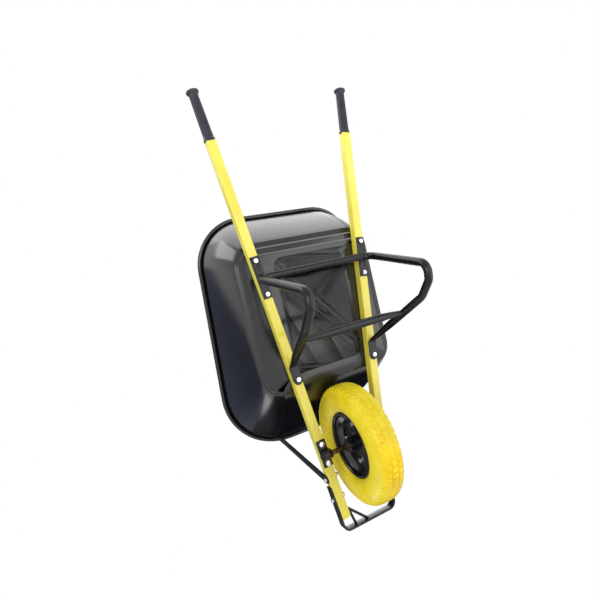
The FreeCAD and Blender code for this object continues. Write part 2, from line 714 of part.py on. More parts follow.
tray_r = size("tray_bolt_radius")
floor = HANDLE_TOP + size("tray_wall")
tray_points = both_sides([FRONT_BOLT] + PLATE_BOLTS)
washer_t = size("washer_sheet")
washer = Part.makeCylinder(3 * tray_r, washer_t).cut(Part.makeCylinder(tray_r, washer_t))
group("tray_washers", washer, upright([V(p.x, p.y, floor) for p in tray_points]))
group("tray_bolts", coach_bolt(tray_r, size("handle_size + tray_wall + tab_sheet + washer_sheet")),
      upright([V(p.x, p.y, floor + washer_t) for p in tray_points]))
nut_points = both_sides([V(FRONT_BOLT.x, FRONT_BOLT.y, HANDLE_UNDER - size("tab_sheet"))]
                        + [V(p.x, p.y, HANDLE_UNDER - size("plate_sheet")) for p in PLATE_BOLTS])
group("tray_nuts", nut(tray_r), upright(nut_points, 180))

side_places, side_nuts = [], []
outside = size("handle_size") / 2
for p, sheet_name in ((GUARD_BOLT, "guard_sheet"), (STAY_BOLT, "stay_sheet")):
    for side in (1, -1):
        n = out_from_handle(side)
        at = V(p.x, side * p.y, p.z)
        head = at + n * (outside + size(sheet_name))
        side_places.append(FreeCAD.Placement(head, FreeCAD.Rotation(Z, -n)))
        side_nuts.append(FreeCAD.Placement(at - n * outside, FreeCAD.Rotation(Z, -n)))
group("side_bolts", hex_bolt(bolt_r, size("handle_size + guard_sheet")), side_places)
group("side_nuts", nut(bolt_r), side_nuts)

doc.recompute()


# Stance: the handle frame is tipped back onto the feet, the tyre touches the ground
# at z = 0, and the origin is the middle of the whole barrow's footprint box.

def stand(shift):
    turn = FreeCAD.Rotation(Y, size("rest_tilt"))
    return FreeCAD.Placement(V(shift, 0, size("tyre_radius")), turn)


def place_all(shift):
    for obj, local in PARTS:
        if local is not None:
            obj.Placement = stand(shift).multiply(local).multiply(BUILT[obj.Name])
    doc.recompute()


BUILT = {}
for obj, local in PARTS:
    if local is not None:
        BUILT[obj.Name] = FreeCAD.Placement(obj.Placement)

for label, left in (("handle_right", handle_left), ("grip_right", grip_left),
                    ("axle_bracket_right", bracket_left), ("rear_plate_right", plate_left),
                    ("stay_right", stay_left)):
    mirrored(label, left)

place_all(0)
extent = FreeCAD.BoundBox()
for obj, local in PARTS:
    extent.add(obj.Shape.optimalBoundingBox(False))
sheet.set(sheet.getCellFromAlias("stand_shift"), str(-extent.Center.x))
doc.recompute()
place_all(size("stand_shift"))

faults = [o.Name for o in doc.Objects if "Invalid" in o.State or "Error" in o.State]
if faults:
    raise RuntimeError("failed objects: " + ", ".join(faults))
os.makedirs("parts", exist_ok=True)
for obj, local in PARTS:
    shape = obj.Shape
    if shape.isNull() or not shape.isValid() or shape.Volume <= 0:
        raise RuntimeError("bad shape: " + obj.Label)
    shape.exportStep("parts/" + obj.Label + ".step")

print("parts:", len(PARTS), "shift to the footprint's middle:", round(size("stand_shift"), 3))
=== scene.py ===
import json
import math

import bmesh
import bpy
from mathutils import Matrix, Vector


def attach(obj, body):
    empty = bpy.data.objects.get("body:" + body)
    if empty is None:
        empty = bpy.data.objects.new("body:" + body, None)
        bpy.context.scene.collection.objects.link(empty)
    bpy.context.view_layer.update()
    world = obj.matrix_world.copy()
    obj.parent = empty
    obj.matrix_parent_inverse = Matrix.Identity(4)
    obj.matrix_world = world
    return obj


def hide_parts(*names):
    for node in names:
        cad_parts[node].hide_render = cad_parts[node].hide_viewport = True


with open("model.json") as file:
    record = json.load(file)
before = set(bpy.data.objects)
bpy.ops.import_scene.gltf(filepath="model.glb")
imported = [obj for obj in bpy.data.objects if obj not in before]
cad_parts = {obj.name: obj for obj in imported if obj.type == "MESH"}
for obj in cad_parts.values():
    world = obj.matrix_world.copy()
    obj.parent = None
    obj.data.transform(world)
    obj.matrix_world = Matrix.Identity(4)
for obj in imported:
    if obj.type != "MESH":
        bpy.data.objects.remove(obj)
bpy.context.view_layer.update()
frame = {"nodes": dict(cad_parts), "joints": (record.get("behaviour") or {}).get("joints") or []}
nodes = frame["nodes"]

# ---------------------------------------------------------------- stance and camera
# The barrow is drawn in its handles' own axes: origin at the middle of the axle, +X to the nose,
# +Y left, +Z from the handles to the tray. On the ground it leans back on its legs by 11 degrees.

mm = 0.001
rest_tilt = math.radians(11)
axle_middle = Vector(frame["joints"][0]["pos_m"])
stand = Matrix.Translation(axle_middle) @ Matrix.Rotation(rest_tilt, 4, "Y")

eye = Vector((-0.30815, 0.63276, -0.87624))
gaze = Vector((0.1991, -0.41634, 0.88714))
camera = bpy.data.objects.new("camera", bpy.data.cameras.new("camera"))
camera.data.lens = 24.99
camera.data.sensor_width = 36
camera.matrix_world = (Matrix.Translation(eye) @ gaze.to_track_quat("-Z", "Y").to_matrix().to_4x4()
                       @ Matrix.Rotation(math.radians(-75.37), 4, "Z"))
bpy.context.collection.objects.link(camera)
bpy.context.scene.camera = camera

# ---------------------------------------------------------------- floor, world and lamps
# A pale floor that is seen and shades from above only, so the underside view looks through it,
# and that fades into a white studio. Large soft lamps stand at the rear, overhead and low down.


def colour(code):
    """A hex colour as the eye sees it, turned to the linear values that shaders work in."""
    channels = [int(code[i:i + 2], 16) / 255 for i in (0, 2, 4)]
    return [c / 12.92 if c <= 0.04045 else ((c + 0.055) / 1.055) ** 2.4 for c in channels] + [1]


def add(tree, kind, settings=(), links=()):
    """Adds a shader node; settings are its properties or socket values, links feed its sockets."""
    node = tree.nodes.new("ShaderNode" + kind)
    for key, value in dict(settings).items():
        if isinstance(key, int) or key in node.inputs:
            node.inputs[key].default_value = value
        else:
            setattr(node, key, value)
    for key, source in dict(links).items():
        tree.links.new(source, node.inputs[key])
    return node


def blank_material(name):
    """A new material with an empty node tree."""
    material = bpy.data.materials.new(name)
    material.use_nodes = True
    material.node_tree.nodes.clear()
    return material


bpy.ops.object.select_all(action="DESELECT")
bpy.ops.mesh.primitive_plane_add(size=8)
floor = bpy.context.object
floor.name = "studio_floor"
floor.visible_glossy = False
# Matt white paper: takes the soft shadow and has no shine. Past 2.6 m it has faded away.
paper = blank_material("white_studio_paper")
tree = paper.node_tree
face = add(tree, "NewGeometry")
ray = add(tree, "LightPath")
unseen = add(tree, "Math", {"operation": "MAXIMUM"},
             {0: face.outputs["Backfacing"], 1: ray.outputs["Is Shadow Ray"]})
spot = add(tree, "TexCoord")
away = add(tree, "VectorMath", {"operation": "LENGTH"}, {0: spot.outputs["Object"]})
far = add(tree, "MapRange", {"From Min": 1.1, "From Max": 2.6}, {"Value": away.outputs["Value"]})
unseen = add(tree, "Math", {"operation": "MAXIMUM"}, {0: unseen.outputs[0], 1: far.outputs[0]})
matt = add(tree, "BsdfDiffuse", {"Color": colour("f4f4f4")})
clear = add(tree, "BsdfTransparent")
either = add(tree, "MixShader", (), {0: unseen.outputs[0], 1: matt.outputs[0], 2: clear.outputs[0]})
add(tree, "OutputMaterial", (), {"Surface": either.outputs[0]})
floor.data.materials.append(paper)

world = bpy.data.worlds.new("white_studio")
bpy.context.scene.world = world
world.use_nodes = True
tree = world.node_tree
tree.nodes.clear()
ray = add(tree, "LightPath")
seen = add(tree, "Math", {"operation": "MAXIMUM"},
           {0: ray.outputs["Is Camera Ray"], 1: ray.outputs["Is Glossy Ray"]})
seen = add(tree, "Math", {"operation": "MAXIMUM"},
           {0: seen.outputs[0], 1: ray.outputs["Is Transmission Ray"]})
soft = add(tree, "Background", {"Color": colour("f2f5ff"), "Strength": 0.6})
white = add(tree, "Background", {"Color": colour("ffffff"), "Strength": 1})
either = add(tree, "MixShader", (), {0: seen.outputs[0], 1: soft.outputs[0], 2: white.outputs[0]})
add(tree, "OutputWorld", (), {"Surface": either.outputs[0]})


def lamp(name, at, towards, side, watts):
    """A square soft lamp, placed and aimed in metres."""
    light = bpy.data.lights.new(name, "AREA")
    light.size = side
    light.energy = watts
    holder = bpy.data.objects.new(name, light)
    aim = (Vector(towards) - Vector(at)).to_track_quat("-Z", "Y")
    holder.matrix_world = Matrix.Translation(at) @ aim.to_matrix().to_4x4()
    bpy.context.collection.objects.link(holder)


def card(name, at, towards, across, high, shade):
    """A dark card with faded edges that only reflections see, so that gloss paint keeps its depth."""
    cloth = blank_material(name + "_cloth")
    tree = cloth.node_tree
    spot = add(tree, "TexCoord")
    spread = add(tree, "VectorMath", {"operation": "ABSOLUTE"}, {0: spot.outputs["Object"]})
    sides = add(tree, "SeparateXYZ", (), {0: spread.outputs[0]})
    edge = add(tree, "Math", {"operation": "MAXIMUM"}, {0: sides.outputs["X"], 1: sides.outputs["Y"]})
    fade = add(tree, "MapRange",
               {"From Min": 0.36, "From Max": 0.5, "interpolation_type": "SMOOTHSTEP"},
               {"Value": edge.outputs[0]})
    matt = add(tree, "BsdfDiffuse", {"Color": colour(shade)})
    clear = add(tree, "BsdfTransparent")
    either = add(tree, "MixShader", (), {0: fade.outputs[0], 1: matt.outputs[0], 2: clear.outputs[0]})
    add(tree, "OutputMaterial", (), {"Surface": either.outputs[0]})
    bpy.ops.object.select_all(action="DESELECT")
    bpy.ops.mesh.primitive_plane_add(size=1)
    sheet = bpy.context.object
    sheet.name = name
    aim = (Vector(towards) - Vector(at)).to_track_quat("Z", "Y")
    sheet.matrix_world = (Matrix.Translation(at) @ aim.to_matrix().to_4x4()
                          @ Matrix.Diagonal((across, high, 1, 1)))
    sheet.visible_camera = sheet.visible_diffuse = sheet.visible_shadow = False
    sheet.data.materials.append(cloth)


lamp("handle_end_softbox", (-0.7, 2.3, -1.8), (0.25, 0, 0.25), 1.6, 40)
lamp("overhead_softbox", (0.3, -0.6, 2.4), (0.1, 0, 0.2), 1.2, 36)
lamp("rear_softbox", (-1.7, -0.3, 1.65), (-0.25, 0, 0.4), 2.5, 27)
lamp("nose_softbox", (2.1, 0.75, 1.15), (0.5, 0.05, 0.2), 1.1, 6)
lamp("rear_corner_softbox", (-1.45, 1.5, 1.5), (-0.25, 0.25, 0.45), 1.2, 13)
lamp("low_softbox", (-0.25, -0.75, -1.1), (0, 0, 0.3), 1.7, 15)
card("left_card", (0.9, 0.9, 1.7), (0.25, 0.2, 0.4), 2.4, 3, "5d6070")
card("front_card", (1.75, -0.35, 1.0), (0.45, 0, 0.5), 2.4, 2.1, "0c0d12")

# ---------------------------------------------------------------- handles
# Two square steel tubes, 30 mm on a side, bent nowhere, which run from the grips to the nose and
# splay apart by 7 degrees each. Sprayed yellow enamel: glossy, with a faint orange-peel skin.

handle_side = 30
handle_under = 20
handle_middle = handle_under + handle_side / 2
handle_top = handle_under + handle_side
handle_length = 1265
nose_x, nose_y = 229, 86.5  # middle of a handle's front end
splay = math.radians(7.125)


def along_handle(x):
    """Distance of a handle's centre line from the middle, in mm, at a place along the barrow."""
    return nose_y + (nose_x - x) * math.tan(splay)


def coating(name, light, dark, roughness, peel, peel_size, patch_size,
            coat=0.0, metallic=0.0, specular=0.5):
    """A skin of paint, plastic or plating: its two tones drift over patches, and a fine bump of
    peel_size mm, peel mm deep, breaks its gloss."""
    material = blank_material(name)
    tree = material.node_tree
    place = add(tree, "TexCoord").outputs["Object"]
    patches = add(tree, "TexNoise", {"Scale": 1 / (patch_size * mm), "Detail": 5, "Roughness": 0.6},
                  {"Vector": place})
    spread = add(tree, "ValToRGB", (), {"Fac": patches.outputs["Fac"]})
    spread.color_ramp.elements[0].position = 0.35
    spread.color_ramp.elements[1].position = 0.68
    spread.color_ramp.elements[0].color = colour(dark)
    spread.color_ramp.elements[1].color = colour(light)
    gloss = add(tree, "MapRange", {"To Min": roughness * 0.8, "To Max": roughness * 1.25},
                {"Value": patches.outputs["Fac"]})
    skin = add(tree, "TexNoise", {"Scale": 1 / (peel_size * mm), "Detail": 3}, {"Vector": place})
    bump = add(tree, "Bump", {"Strength": 1, "Distance": peel * mm}, {"Height": skin.outputs["Fac"]})
    shader = add(tree, "BsdfPrincipled",
                 {"Metallic": metallic, "Coat Weight": coat, "Coat Roughness": 0.06,
                  "Specular IOR Level": specular},
                 {"Base Color": spread.outputs["Color"], "Roughness": gloss.outputs["Result"],
                  "Normal": bump.outputs["Normal"]})
    add(tree, "OutputMaterial", (), {"Surface": shader.outputs[0]})
    return material


def coat_node(name, material):
    """Gives a piece that came from the CAD model its finish."""
    for slot in nodes[name].material_slots:
        slot.material = material


# Warm yellow that pales and deepens along the tube, with small soft glints off the sprayed skin.
yellow_enamel = coating("yellow_enamel", "e4d852", "dccc42", 0.22, 0.02, 2.5, 90, coat=0.3)
for side in ("left", "right"):
    coat_node("handle_" + side, yellow_enamel)

# ---------------------------------------------------------------- grips
# Moulded PVC sleeves on the handles' spigots: a thick collar in front, a fluted barrel that
# thins a little to the rear, and a closed flange at the end. Blue-black, matt, with a dull sheen.

grip_flutes = 20
flute_steps = 4 * grip_flutes
flute_depth = 0.7


def edit(piece, mode):
    """Opens a piece for editing, with nothing selected."""
    bpy.ops.object.select_all(action="DESELECT")
    piece.select_set(True)
    bpy.context.view_layer.objects.active = piece
    bpy.ops.object.mode_set(mode="EDIT")
    bpy.ops.mesh.select_mode(type=mode)
    bpy.ops.mesh.select_all(action="DESELECT")


def pick(piece, test):
    """Selects the vertices, edges or faces whose middle passes the test, in mm."""
    shape = bmesh.from_edit_mesh(piece.data)
    if "FACE" in shape.select_mode:
        found = [(f, f.calc_center_median()) for f in shape.faces]
    elif "EDGE" in shape.select_mode:
        found = [(e, (e.verts[0].co + e.verts[1].co) / 2) for e in shape.edges]
    else:
        found = [(v, v.co) for v in shape.verts]
    for item, middle in found:
        if test(middle / mm):
            item.select_set(True)
    shape.select_flush_mode()
    bmesh.update_edit_mesh(piece.data)


def modify(piece, kind, **settings):
    """Adds a modifier and applies it at once."""
    bpy.ops.object.select_all(action="DESELECT")
    piece.select_set(True)
    bpy.context.view_layer.objects.active = piece
    modifier = piece.modifiers.new(kind.lower(), kind)
    for key, value in settings.items():
        setattr(modifier, key, value)
    bpy.ops.object.modifier_apply(modifier=modifier.name)


def round_edges(piece, width, over=35):
    """Breaks every edge that turns by more than some degrees, then shades the piece smooth."""
    modify(piece, "BEVEL", width=width * mm, segments=2, limit_method="ANGLE",
           angle_limit=math.radians(over), use_clamp_overlap=True)
    bpy.ops.object.shade_smooth_by_angle(angle=math.radians(32))


def turned(name, outline, axis, steps):
    """A turned piece: its outline, in mm, is drawn point by point and spun round an axis."""
    points = [Vector((a, b, 0)) * mm for a, b in outline]
    bpy.ops.object.select_all(action="DESELECT")
    bpy.ops.mesh.primitive_plane_add(size=mm)
    piece = bpy.context.object
    piece.name = name
    edit(piece, "VERT")
    bpy.ops.mesh.select_all(action="SELECT")
    bpy.ops.mesh.merge(type="CENTER")
    bpy.ops.transform.translate(value=points[0])
    for here, there in zip(points, points[1:]):
        bpy.ops.mesh.extrude_region_move(TRANSFORM_OT_translate={"value": there - here})
    pick(piece, lambda p: (p * mm - points[0]).length < 1e-6 or (p * mm - points[-1]).length < 1e-6)
    bpy.ops.mesh.edge_face_add()
    bpy.ops.mesh.select_all(action="SELECT")
    bpy.ops.mesh.spin(steps=steps, angle=2 * math.pi, center=(0, 0, 0), axis=axis)
    bpy.ops.mesh.select_all(action="SELECT")
    bpy.ops.mesh.remove_doubles(threshold=0.01 * mm)
    bpy.ops.mesh.normals_make_consistent(inside=False)
    bpy.ops.object.mode_set(mode="OBJECT")
    return piece


def finish_piece(piece, material, slot, body, *replaced):
    """Finishes a piece that is in place: its material, body and CAD nodes. The slot is not used."""
    piece.data.materials.clear()
    piece.data.materials.append(material)
    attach(piece, body)
    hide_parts(*replaced)


def mirrored_copy(piece, name):
    """The right-hand copy of a left-hand piece that is still in the handles' axes."""
    copy = piece.copy()
    copy.data = piece.data.copy()
    copy.name = name
    bpy.context.collection.objects.link(copy)
    copy.data.transform(Matrix.Diagonal((1, -1, 1, 1)))
    copy.data.flip_normals()
    return copy


# Blue-black and matt: light spreads into a dull sheen over the flutes, with no mirror image.
grip_rubber = coating("moulded_black_pvc", "20242f", "171a23", 0.42, 0.05, 0.9, 30)
outline = [(0, 12.2), (0, 17.4), (1.6, 18.5), (7.4, 18.5), (9, 17.6), (12, 16.6), (22, 16), (50, 15.6),
           (80, 15.4), (110, 14.9), (138, 14.6), (146, 15.4), (149, 18.4), (151.5, 19.8), (155.5, 20),
           (157.4, 18.8), (158, 16.6), (158, 0), (146, 0), (146, 12.2)]
grip_left = turned("grip_left_sleeve", outline, (1, 0, 0), flute_steps)
edit(grip_left, "FACE")
step = 2 * math.pi / flute_steps
pick(grip_left, lambda p: 13 < p.x < 137 and math.hypot(p.y, p.z) > 13.5
     and int((math.atan2(p.z, p.y) % (2 * math.pi)) / step) % 4 == 0)
bpy.ops.mesh.extrude_region_shrink_fatten(TRANSFORM_OT_shrink_fatten={"value": -flute_depth * mm})
bpy.ops.object.mode_set(mode="OBJECT")
round_edges(grip_left, 0.35)
handle_axes = (Matrix.Translation(Vector((nose_x, nose_y, handle_middle)) * mm)
               @ Matrix.Rotation(math.pi - splay, 4, "Z"))
grip_left.data.transform(handle_axes @ Matrix.Translation((handle_length * mm, 0, 0)))
grip_right = mirrored_copy(grip_left, "grip_right_sleeve")
for grip, side in ((grip_left, "left"), (grip_right, "right")):
    grip.data.transform(stand)
    finish_piece(grip, grip_rubber, "grip_rubber", "frame", "grip_" + side)

# ---------------------------------------------------------------- tray
# Pressed from one 1.2 mm steel sheet: a flat base with rounded corners, a shallow double step
# round it, flaring walls, and a brim rolled over into an 8 mm bead. Deep gloss black enamel.

tray_x = -222
tray_wall = 1.2
base_rear, step_rear, step_front = tray_x - 439, tray_x - 484, tray_x + 16
base_half = along_handle(base_rear) + 19.4
step_half = base_half + 32
step_rise = 18
brim_tilt = math.radians(13.5)
brim_rear, brim_front, brim_half = -627.3, 301.3, 318
brim_rear_corner, brim_front_corner = 172, 262
brim_height = 335.3
roll = 8
brim_place = (Matrix.Translation(Vector((tray_x, 0, handle_top + brim_height)) * mm)
              @ Matrix.Rotation(-brim_tilt, 4, "Y"))


def rounded_loop(rear, front, half, rear_corner, front_corner, place, segments=14, keep_face=False):
    """An edge loop of a rounded rectangle, in mm in its own plane, set in place by a matrix."""
    bpy.ops.object.select_all(action="DESELECT")
    bpy.ops.mesh.primitive_plane_add(size=2 * mm)
    loop = bpy.context.object
    edit(loop, "VERT")
    bpy.ops.mesh.select_all(action="SELECT")
    bpy.ops.transform.resize(value=((front - rear) / 2, half, 1))
    bpy.ops.transform.translate(value=((front + rear) / 2 * mm, 0, 0))
    for corner, at_end in ((rear_corner, lambda p: p.x < rear + 0.001),
                           (front_corner, lambda p: p.x > front - 0.001)):
        bpy.ops.mesh.select_all(action="DESELECT")
        pick(loop, at_end)
        bpy.ops.mesh.bevel(offset=corner * mm, segments=segments, affect="VERTICES", profile=0.5)
    if not keep_face:
        bpy.ops.mesh.select_all(action="SELECT")
        bpy.ops.mesh.delete(type="ONLY_FACE")
    bpy.ops.object.mode_set(mode="OBJECT")
    loop.data.transform(place)
    return loop


def lofted(name, loops):
    """Joins edge loops of one count, in order, with a skin of faces from each to the next."""
    for order, loop in enumerate(loops):
        mark = loop.data.attributes.new("order", "INT", "POINT")
        for point in mark.data:
            point.value = order
    bpy.ops.object.select_all(action="DESELECT")
    for loop in loops:
        loop.select_set(True)
    bpy.context.view_layer.objects.active = loops[0]
    bpy.ops.object.join()
    piece = loops[0]
    piece.name = name
    edit(piece, "EDGE")
    for order in range(len(loops) - 1):
        bpy.ops.mesh.select_all(action="DESELECT")
        shape = bmesh.from_edit_mesh(piece.data)
        layer = shape.verts.layers.int["order"]
        for edge in shape.edges:
            a, b = (v[layer] for v in edge.verts)
            if a == b and a in (order, order + 1):
                edge.select_set(True)
        bmesh.update_edit_mesh(piece.data)
        bpy.ops.mesh.bridge_edge_loops()
    bpy.ops.mesh.select_all(action="SELECT")
    bpy.ops.mesh.normals_make_consistent(inside=False)
    bpy.ops.object.mode_set(mode="OBJECT")
    return piece


def level(height):
    """A place at some height, in mm, above the middle of the axle."""
    return Matrix.Translation((0, 0, height * mm))


# Between the handles the base is embossed upwards in two small steps: inset and height of each.
panel_rear, panel_front, panel_half, panel_corner = -645, -262, 128, 34
panel_steps = [(28, 6), (23, 6), (18, 3), (5, 3), (0, 0)]
loops = []
for inset, height in panel_steps:
    loops.append(rounded_loop(panel_rear + inset, panel_front - inset, panel_half - inset,
                              panel_corner - inset, panel_corner - inset,
                              level(handle_top + height), keep_face=not loops))

# Outside the handles it rises in creases: how far out (0 at the base's edge, 1 at the foot of the
# wall) and how high each lies.
base_corner, step_corner = 32, 70
creases = [(0, 0), (0.12, 6), (0.5, 7.5), (0.62, 15), (1, step_rise)]
for out, height in creases:
    corner = base_corner + out * (step_corner - base_corner)
    loops.append(rounded_loop(base_rear + out * (step_rear - base_rear),
                              tray_x + out * (step_front - tray_x),
                              base_half + out * (step_half - base_half),
                              corner, corner, level(handle_top + height)))

# The walls flare from the foot to the brim, bulge a little at the sides and end inside the bead.
wall_loops = 9
side_bulge = 5
under_bead = 1.5 * roll
foot = [step_rear, step_front, step_half, step_corner, step_corner]
top = [brim_rear + under_bead, brim_front - under_bead, brim_half - under_bead,
       brim_rear_corner - under_bead, brim_front_corner - under_bead]
wall_foot = Vector((0, 0, handle_top + step_rise))
for i in range(1, wall_loops + 1):
    share = i / wall_loops
    rear, front, half, rear_corner, front_corner = [a + (b - a) * share for a, b in zip(foot, top)]
    middle = wall_foot.lerp(brim_place.translation / mm, share)
    place = Matrix.Translation(middle * mm) @ Matrix.Rotation(-brim_tilt * share, 4, "Y")
    loops.append(rounded_loop(rear, front, half + side_bulge * math.sin(math.pi * share),
                              rear_corner, front_corner, place))
tray = lofted("tray_pressing", loops)
round_edges(tray, 1.6, over=20)
modify(tray, "SOLIDIFY", thickness=tray_wall * mm, offset=-1)

bead = rounded_loop(brim_rear + roll, brim_front - roll, brim_half - roll, brim_rear_corner - roll,
                    brim_front_corner - roll, brim_place)
bead.name = "tray_rolled_brim"
bpy.ops.object.select_all(action="DESELECT")
bead.select_set(True)
bpy.context.view_layer.objects.active = bead
bpy.ops.object.convert(target="CURVE")
bead.data.bevel_depth = roll * mm
bead.data.bevel_resolution = 5
bpy.ops.object.convert(target="MESH")
bpy.ops.object.shade_smooth()
# Deep black with a wet shine: broad soft mirror images of lamps, a little blurred by the skin.
gloss_enamel = coating("black_gloss_enamel", "0f1014", "0b0b0f", 0.2, 0.012, 3.5, 120, coat=0.3)
for piece in (tray, bead):
    piece.data.transform(stand)
    finish_piece(piece, gloss_enamel, "black_gloss_enamel", "frame", "tray")

# ---------------------------------------------------------------- tyre
# One-piece polyurethane foam tyre: closed yellow skin, satin, with smooth bulged sides and
# five rows of shallow moulded lugs, 56 in each row, staggered from row to row.

tyre_radius = 195
lugs = 56
steps_per_lug = 6
lug_height = 2.2
# Strong clean yellow, satin: a soft broad sheen on the side walls and a faint pebbled skin.
foam = coating("yellow_pu_foam", "f6e326", "ebd112", 0.34, 0.05, 1.6, 45, coat=0.12, specular=0.4)
half_outline = [(101.6, 25.5), (109, 27.9), (111, 32), (115.5, 37), (124, 41.6), (136, 44.2),
                (150, 44.4), (161, 43), (170, 40.8), (177, 38.2), (183.6, 34.6), (187.8, 30.2),
                (189.2, 28), (190.8, 24.6), (191.9, 18.6), (192.5, 12.6), (192.7, 9.8), (192.9, 3.6)]
outline = half_outline + [(r, -y) for r, y in reversed(half_outline)]
tyre = turned("foam_tyre", outline, (0, 1, 0), steps_per_lug * lugs)
edit(tyre, "FACE")
step = 2 * math.pi / (steps_per_lug * lugs)


def on_lug(p):
    """Four or five steps of six carry a lug, and the rows between are staggered by half a lug."""
    radius = math.hypot(p.x, p.z)
    if radius < 176:
        return False
    turn = int((math.atan2(p.z, p.x) % (2 * math.pi)) / step) % steps_per_lug
    across = abs(p.y)
    if across < 9.7:
        return turn != 0
    if 28.3 < across < 38:
        return turn > 1
    return 12.8 < across < 27.8 and turn != 3


pick(tyre, on_lug)
bpy.ops.mesh.extrude_region_shrink_fatten(TRANSFORM_OT_shrink_fatten={"value": lug_height * mm})
bpy.ops.object.mode_set(mode="OBJECT")
round_edges(tyre, 0.7, over=40)
tyre.data.transform(stand)
finish_piece(tyre, foam, "yellow_foam", "wheel", "tyre")

# ---------------------------------------------------------------- wheel rim and hub
# Two stamped steel dishes, 2.5 mm thick, bolted back to back, each with a rolled flange that the
# tyre seats on and a pressed ring round the hub tube. Gloss black paint all over.

# Black gloss over stamped steel: crisp bright rings where the dish turns, on a faintly rippled skin.
wheel_paint = coating("black_wheel_paint", "101116", "0a0a0e", 0.18, 0.02, 3, 60, coat=0.3)
outline = [(23.3, 0), (29, 0), (32.5, 2.2), (40, 2.2), (43.5, 0), (76, 0), (81, 1.2), (86, 4),
           (97, 12), (100.6, 14.8), (101.6, 17), (101.6, 23), (103.2, 25.4), (108.2, 27), (109, 27.8),
           (108.8, 29.4), (107.2, 29.8), (102, 28.6), (99.4, 26), (99.1, 17.6), (95.6, 13.8),
           (84.4, 6), (80, 3.4), (75.6, 2.5), (44.6, 2.5), (41, 4.7), (31.6, 4.7), (28, 2.5),
           (23.3, 2.5)]
rim_left = turned("rim_dish_left", outline, (0, 1, 0), 96)
round_edges(rim_left, 0.6)
rim_right = mirrored_copy(rim_left, "rim_dish_right")
for rim, side in ((rim_left, "left"), (rim_right, "right")):
    rim.data.transform(stand)
    finish_piece(rim, wheel_paint, "black_wheel_paint", "wheel", "rim_half_" + side)
coat_node("wheel_hub", wheel_paint)

# ---------------------------------------------------------------- bearings, axle and collars
# Sealed ball bearings in the hub's ends: ground steel rings with a black seal between them. They
# turn on a bare 16 mm steel bar, oiled and browned, between two set collars.

# Cold pale metal, finely ground: tight bright glints round the rings.
bearing_steel = coating("ground_bearing_steel", "b4b6b8", "9fa1a4", 0.25, 0.01, 1.2, 12, metallic=1)
# Brown, uneven metal: darker and lighter stains of old oil, with a low gleam along the bar.
dark_steel = coating("oiled_dark_steel", "6b5d50", "3f352d", 0.34, 0.02, 1.5, 14, metallic=1)
outline = [(8.05, 24), (17.5, 24), (17.5, 34.7), (17.2, 35), (15.2, 35), (14.9, 34.3), (11.6, 34.3),
           (11.3, 35), (8.4, 35), (8.05, 34.7)]
bearing_left = turned("sealed_bearing_left", outline, (0, 1, 0), 64)
bpy.ops.object.shade_smooth_by_angle(angle=math.radians(32))
bearing_right = mirrored_copy(bearing_left, "sealed_bearing_right")
for bearing, side in ((bearing_left, "left"), (bearing_right, "right")):
    bearing.data.transform(stand)
    finish_piece(bearing, bearing_steel, "bearing_steel", "wheel", "bearing_" + side)
    bearing.data.materials.append(grip_rubber)
    for polygon in bearing.data.polygons:
        spoke = stand.inverted() @ polygon.center / mm
        if 11.7 < math.hypot(spoke.x, spoke.z) < 14.8 and abs(spoke.y) > 30:
            polygon.material_index = 1
coat_node("axle", dark_steel)


def merged_copy(name):
    """A copy of a CAD node, its loose triangles merged into whole faces."""
    node = nodes[name]
    piece = node.copy()
    piece.data = node.data.copy()
    piece.name = name + "_softened"
    bpy.context.collection.objects.link(piece)
    edit(piece, "VERT")
    bpy.ops.mesh.select_all(action="SELECT")
    bpy.ops.mesh.remove_doubles(threshold=0.005 * mm)
    bpy.ops.mesh.dissolve_limited(angle_limit=math.radians(1))
    bpy.ops.object.mode_set(mode="OBJECT")
    return piece


def softened(name, width):
    """A merged copy of a CAD node with its sharp edges broken by a bevel of some width, in mm."""
    piece = merged_copy(name)
    round_edges(piece, width, over=40)
    return piece


for side in ("left", "right"):
    name = "axle_collar_" + side
    finish_piece(softened(name, 0.6), dark_steel, "dark_steel", "frame", name)

# ---------------------------------------------------------------- axle brackets
# A flat foot bolted up under each handle with a rounded saddle in its middle that grips the axle.
# Black powder coat over steel: semi-gloss, with a fine grain.

# Semi-gloss black with a fine sandy grain, so highlights run wide and grey along bars and tubes.
frame_paint = coating("black_powder_coat", "0d0e12", "08080b", 0.26, 0.03, 1.1, 50, specular=0.35)
for name in ("axle_bracket_left", "axle_bracket_right"):
    finish_piece(softened(name, 0.8), frame_paint, "black_frame_paint", "frame", name)

# ---------------------------------------------------------------- leg frame
# One 25 mm tube: flattened and rounded at its front ends where it bolts under the handles, bent
# down to the feet, along the ground, and up to a bridge that crosses under both handles.

leg_radius = 12.5
tab_width, tab_sheet, tab_length = 32, 6, 66
nose_of_tab = tray_x - 14
foot_front_x, foot_middle_x, foot_rear_x, bridge_x = [tray_x - back for back in (205, 252, 298, 368)]


def bent(corners, radii, steps=7):
    """Stations along straight runs joined by bends: each a place and a direction, in mm."""
    stations = [(corners[0], (corners[1] - corners[0]).normalized())]
    for before, corner, after, radius in zip(corners, corners[1:], corners[2:], radii):
        back = (before - corner).normalized()
        ahead = (after - corner).normalized()
        half_turn = back.angle(ahead) / 2
        first = corner + back * radius / math.tan(half_turn)
        centre = corner + (back + ahead).normalized() * radius / math.sin(half_turn)
        normal = back.cross(ahead).normalized()
        for i in range(steps + 1):
            turn = Matrix.Rotation(-(math.pi - 2 * half_turn) * i / steps, 3, normal)
            stations.append((centre + turn @ (first - centre), -(turn @ back)))
    stations.append((corners[-1], (corners[-1] - corners[-2]).normalized()))
    return stations


